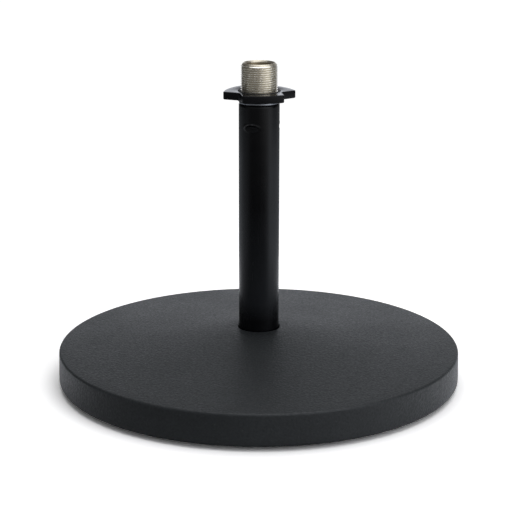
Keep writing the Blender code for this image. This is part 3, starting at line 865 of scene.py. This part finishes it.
def build_bolt_head():
    """Hexagon head with its lower corners turned off."""
    low, top = bolt_low.z, BOLT_HEAD_TOP
    r = 0.5 * BOLT_FLATS / math.cos(math.radians(30.0))
    bm = bmesh.new()
    bmesh.ops.create_cone(bm, cap_ends=True, segments=6, radius1=r * MM, radius2=r * MM,
                          depth=(top - low) * MM,
                          matrix=Matrix.Translation((0, 0, 0.5 * (top + low) * MM)))
    head = add_bmesh("base_bolt_fine", bm)
    face_r = 0.5 * BOLT_FLATS - 0.25
    lathe = turned("hex_lathe", [(0.0, top + 1.0), (r + 1.0, top + 1.0), (r + 1.0, top - 0.1),
                                 (r + 1.0, low + 0.95), (face_r, low), (face_r, low - 0.5),
                                 (0.0, low - 0.5)], 96)
    boolean(head, [lathe], "INTERSECT", 25.0)
    return head


def build_bolt_shank():
    """Shank with its M8 thread, from inside the head to the tip."""
    tip, thread_low = bolt_high.z, 13.0
    rows = [BOLT_HEAD_TOP - 1.2, thread_low - 0.3]
    rows += levels(thread_low, tip, BOLT_PITCH / 14.0)
    verts, faces, steps = [], [], 64
    for z in rows:
        for i in range(steps):
            a = TAU * i / steps
            r = BOLT_MAJOR
            if z >= thread_low:
                r = thread_wave(z, a, BOLT_PITCH, BOLT_MAJOR, BOLT_MINOR)
                r = min(r, BOLT_MAJOR - 0.8 + (tip - z))
                if z < thread_low + 0.9:
                    r = max(r, BOLT_MAJOR - 0.02 - (z - thread_low) * 0.8)
            verts.append((r * math.cos(a), r * math.sin(a), z))
    for k in range(len(rows) - 1):
        for i in range(steps):
            j = (i + 1) % steps
            faces.append((k * steps + i, k * steps + j,
                          (k + 1) * steps + j, (k + 1) * steps + i))
    faces.append(tuple(reversed(range(steps))))
    faces.append(tuple((len(rows) - 1) * steps + i for i in range(steps)))
    shank = add_mesh("bolt_shank", verts, faces)
    orient(shank)
    return shank


def build_bolt():
    bolt = build_bolt_head()
    boolean(bolt, [build_bolt_shank()], "UNION", 30.0)
    bevel = bolt.modifiers.new("soft", "BEVEL")
    bevel.width = 0.12 * MM
    bevel.segments = 2
    bevel.limit_method = "ANGLE"
    bevel.angle_limit = math.radians(50.0)
    bevel.use_clamp_overlap = True
    dress(bolt, "zinc_steel")


def build_plug():
    """Bored plug with turned grooves round it."""
    low, top, r, bore = plug_low.z, plug_high.z, plug_high.x, 4.15
    groove, groove_spacing = 0.16, 1.3
    profile = [(r - 0.6, top), (r - 0.1, top - 0.5), (r, top - 0.7)]
    z = top - 1.6
    while z > low + 2.2:
        profile += [(r, z), (r - groove, z - 0.18), (r - groove, z - 0.42), (r, z - 0.6)]
        z -= groove_spacing
    profile += [(r, low + 0.5), (r - 0.12, low + 0.1), (r - 0.4, low), (bore + 0.5, low),
                (bore, low + 0.5), (bore, top - 0.4), (bore + 0.35, top)]
    dress(turned("foot_plug_fine", profile, 96, 30.0), "zinc_steel")


def build_feet():
    r, top, low_round = 7.0, foot_high.z, 1.0
    hole_r, head_hole_r, hole_step_z = 2.3, 4.3, 1.9
    profile = [(r - 0.1, top), (r, top - 0.1), (r, 1.2)]
    profile += arc(r - low_round, low_round, low_round, 0.0, -90.0, 8)
    profile += [(5.4, 0.0)]
    profile += arc(4.75, 0.35, 0.35, -90.0, -180.0, 4)
    profile += [(head_hole_r, 1.5), (head_hole_r, hole_step_z), (hole_r, hole_step_z),
                (hole_r, top)]
    for i, x, y in foot_places():
        dress(turned(f"rubber_foot_{i + 1}_fine", profile, 72, 40.0, (x, y)), "rubber")


SCREW_LOW = 0.45                       # face of the head, which looks down
SCREW_HEAD_R, SCREW_R, SCREW_HEAD_TOP = 3.9, 1.95, 1.7
# cross slot at its deep and its open end: length, width, height
SLOT_DEEP = (2.3, 0.62, SCREW_LOW + 0.95)
SLOT_OPEN = (4.4, 0.86, SCREW_LOW - 0.6)


def screw_profile():
    top, r, head_r = screw_high.z, SCREW_R, SCREW_HEAD_R
    profile = [(0.0, top), (0.5, top - 0.1), (r - 0.55, top - 0.9)]
    z = top - 1.1
    while z > SCREW_HEAD_TOP + 1.0:    # M4 thread drawn as rings, hidden in the hole
        profile += [(r, z), (r - 0.42, z - 0.35)]
        z -= 0.7
    profile += [(r, z), (r, SCREW_HEAD_TOP + 0.1), (r + 0.12, SCREW_HEAD_TOP),
                (head_r - 0.15, SCREW_HEAD_TOP), (head_r, SCREW_HEAD_TOP - 0.12)]
    profile += arc(head_r - 0.75, SCREW_LOW + 0.75, 0.75, 0.0, -78.0, 6)
    return profile + [(1.6, SCREW_LOW + 0.02), (0.0, SCREW_LOW)]


def slot_cutter(name, angle, x, y):
    bm = bmesh.new()
    bmesh.ops.create_cube(bm, size=1.0)
    for v in bm.verts:
        length, width, height = SLOT_DEEP if v.co.z > 0 else SLOT_OPEN
        v.co.x *= length * MM
        v.co.y *= width * MM
        v.co.z = height * MM
    turn_about_axis(bm, angle)
    bmesh.ops.translate(bm, vec=(x * MM, y * MM, 0), verts=bm.verts)
    cutter = add_bmesh(name, bm)
    orient(cutter)
    return cutter


def build_foot_screws():
    for i, x, y in foot_places():
        screw = turned(f"foot_screw_{i + 1}_fine", screw_profile(), 48, 30.0, (x, y))
        turn = math.radians(17.0 + 41.0 * i)       # each stopped at its own angle
        cutters = [slot_cutter(f"slot_{i}_{k}", turn + 0.5 * math.pi * k, x, y)
                   for k in range(2)]
        boolean(screw, cutters, "DIFFERENCE", 30.0)
        dress(screw, "zinc_steel")


build_base()
build_tube()
build_nipple()
build_ring()
build_friction_washer()
build_plug()
build_bolt()
build_flat_washer()
build_spring_washer()
build_feet()
build_foot_screws()


# --------------------------------------------------------------------------- stage
# brightness of the room round the object, as (bearing, brightness); a bearing is
# in degrees from -Y, the camera's side, positive towards +X, the camera's right
ROOM = ((-180, 1.25), (-168, 1.05), (-150, 0.10), (-92, 0.04), (-62, 0.40), (-30, 0.52),
        (-5, 0.56), (12, 0.96), (32, 1.80), (55, 2.05), (70, 1.60), (82, 0.16),
        (104, 0.03), (132, 0.30), (162, 1.15), (180, 1.25))
# the table top within half a metre, in the same terms
TABLE = ((-180, 0.22), (-150, 0.24), (-118, 0.75), (-94, 0.80), (-72, 0.75), (-60, 0.45),
         (-48, 0.16), (-30, 0.12), (20, 0.12), (34, 0.20), (50, 0.90), (62, 2.2),
         (80, 2.1), (98, 1.4), (125, 0.60), (155, 0.26), (180, 0.22))
# the floor close to the stand as reflections see it, with a painted shadow of the stand in
# front, from front to rear: position, brightness
NEAR_FLOOR = [(0.0, 0.10), (0.12, 0.25), (0.40, 0.95), (0.60, 1.25), (0.90, 1.5)]
NEAR_FLOOR_SKEW = 0.28                 # share of x added to y in that run
FAR_FLOOR_GAIN = 0.85                  # far floor's brightness, as a share of the room's
FAR_FLOOR_REAR_MAX = 0.30              # limit on the room's share of it behind the stand
TABLE_TINT = (0.93, 1.0, 1.09)
ROOM_TINT = (0.955, 0.985, 1.06)
PAPER = tuple(1.4 * k for k in (1.03, 1.005, 0.955))     # floor colour to the camera
WHITE_GAIN = 1.05                      # backdrop and far floor to the camera
ROOM_HIGH = (0.10, 0.10, 0.10)         # colour of the room overhead
HIGH_FRONT = 0.20                      # how much of that shows on the camera's side


def round_stops(table, tint):
    """Ramp stops from (bearing, brightness) pairs."""
    return [((degrees + 180.0) / 360.0, tuple(value * k for k in tint))
            for degrees, value in table]


def floor_in_reflections(m, position, incoming):
    """A grey table near the stand with a painted shadow in front, then bands of light round
    it.
    """
    x, y, _ = m.split(position)
    side = m.add(y, m.mul(x, NEAR_FLOOR_SKEW))
    shade = m.ramp(m.map_range(side, across=(-0.12, 0.08)), NEAR_FLOOR)
    near = m.new("ShaderNodeBsdfDiffuse", {"Color": shade}).outputs[0]
    share = m.add(m.mul(m.bearing(x, y), 1.0 / TAU), 0.5)
    far_table = [(d, (min(v, FAR_FLOOR_REAR_MAX) if abs(d) > 140 else v) * FAR_FLOOR_GAIN)
                 for d, v in ROOM]
    far = m.ramp(share, round_stops(far_table, (1.0, 1.0, 1.0)))
    table = m.ramp(share, round_stops(TABLE, TABLE_TINT))
    reach = m.radius(x, y)
    # rays that come down steeply see the bands everywhere
    steep = m.map_range(m.split(incoming)["Z"], across=(0.34, 0.46))
    outer = m.math("MAXIMUM", steep, m.map_range(reach, across=(0.50, 0.75)))
    glow = m.new("ShaderNodeEmission", {"Color": m.mix(outer, table, far)}).outputs[0]
    return m.mix_shader(m.map_range(reach, across=(0.15, 0.24)), near, glow), reach


def floor_to_camera(m, reach):
    """Paper white that keeps its contact shadow, plain white farther out."""
    paper = m.new("ShaderNodeBsdfDiffuse", {"Color": PAPER}).outputs[0]
    white = m.new("ShaderNodeEmission", {"Strength": WHITE_GAIN}).outputs[0]
    return m.mix_shader(m.map_range(reach, across=(0.20, 0.50)), paper, white)


def floor_material():
    m = Material("pale_floor")
    m.surface({"Base Color": (0.90, 0.90, 0.90), "Roughness": 0.9,
               "Specular IOR Level": 0.0})
    geometry = m.new("ShaderNodeNewGeometry").outputs
    reflected, reach = floor_in_reflections(m, geometry["Position"], geometry["Incoming"])
    path = m.new("ShaderNodeLightPath").outputs
    seen = m.mix_shader(path["Is Camera Ray"], m.bsdf.outputs[0], floor_to_camera(m, reach))
    seen = m.mix_shader(path["Is Glossy Ray"], seen, reflected)
    # a camera below the floor sees through it
    eye = m.new("ShaderNodeVectorTransform", {0: (0.0, 0.0, 0.0)}, vector_type="POINT",
                convert_from="CAMERA", convert_to="WORLD")
    below = m.math("LESS_THAN", m.split(eye.outputs[0])["Z"], 0.0)
    clear = m.new("ShaderNodeBsdfTransparent").outputs[0]
    m.feed(m.tree.nodes["Material Output"].inputs["Surface"],
           m.mix_shader(below, seen, clear))
    return m.mat


def build_floor():
    bm = bmesh.new()
    bmesh.ops.create_grid(bm, x_segments=1, y_segments=1, size=30.0)
    floor = add_bmesh("floor", bm)
    floor.data.materials.append(floor_material())


def build_world():
    """Banded room for the object, plain white for the camera."""
    world = bpy.data.worlds.new("studio")
    scene.world = world
    world.use_nodes = True
    w = Nodes(world.node_tree)
    w.tree.nodes.clear()
    x, y, z = w.split(w.new("ShaderNodeTexCoord").outputs["Generated"])
    share = w.math("MULTIPLY_ADD", w.bearing(x, y), 1.0 / TAU, 0.5)
    bands = w.ramp(share, round_stops(ROOM, ROOM_TINT), interpolation="EASE")
    up = w.map_range(z, across=(0.12, 0.58), interpolation_type="SMOOTHSTEP")
    rear = w.map_range(y, across=(-0.25, 0.15), to=(HIGH_FRONT, 1.0))
    colour = w.new("ShaderNodeMix", {0: w.mul(up, rear), 6: bands, 7: ROOM_HIGH},
                   data_type="RGBA").outputs[2]
    room = w.new("ShaderNodeBackground", {"Color": colour, "Strength": 1.0}).outputs[0]
    white = w.new("ShaderNodeBackground",
                  {"Color": (1, 1, 1), "Strength": WHITE_GAIN}).outputs[0]
    is_camera = w.new("ShaderNodeLightPath").outputs["Is Camera Ray"]
    w.new("ShaderNodeOutputWorld", {"Surface": w.mix_shader(is_camera, room, white)})


def build_light():
    """Large soft box overhead, aimed at the origin."""
    light = bpy.data.lights.new("overhead_softbox", "AREA")
    light.shape = "RECTANGLE"
    light.size = 1.7
    light.size_y = 1.5
    light.energy = 15.0
    light.color = (0.965, 0.985, 1.04)
    obj = bpy.data.objects.new("overhead_softbox", light)
    scene.collection.objects.link(obj)
    place = Vector((0.10, 0.15, 1.6))
    obj.location = place
    obj.rotation_euler = (Vector((0, 0, 0)) - place).to_track_quat("-Z", "Y").to_euler()


def build_camera():
    """Long lens, a little above the stand, looking down 15.6 degrees."""
    camera = bpy.data.cameras.new("camera")
    camera.sensor_width = 36.0
    camera.lens = 113.8686792
    camera.clip_start = 0.01
    camera.clip_end = 100.0
    obj = bpy.data.objects.new("camera", camera)
    scene.collection.objects.link(obj)
    up = Vector((-0.001764, 0.269307, 0.963053))
    forward = Vector((0.003626, 0.963050, -0.269300)).normalized()
    right = forward.cross(up).normalized()
    up = right.cross(forward)
    turn = Matrix((right, up, -forward)).transposed()
    obj.matrix_world = Matrix.Translation((0.0, -0.70707, 0.25011)) @ turn.to_4x4()
    scene.camera = obj


build_floor()
build_world()
build_light()
build_camera()
scene.view_settings.view_transform = "Standard"
scene.view_settings.look = "None"
scene.view_settings.exposure = 0.0
scene.view_settings.gamma = 1.0
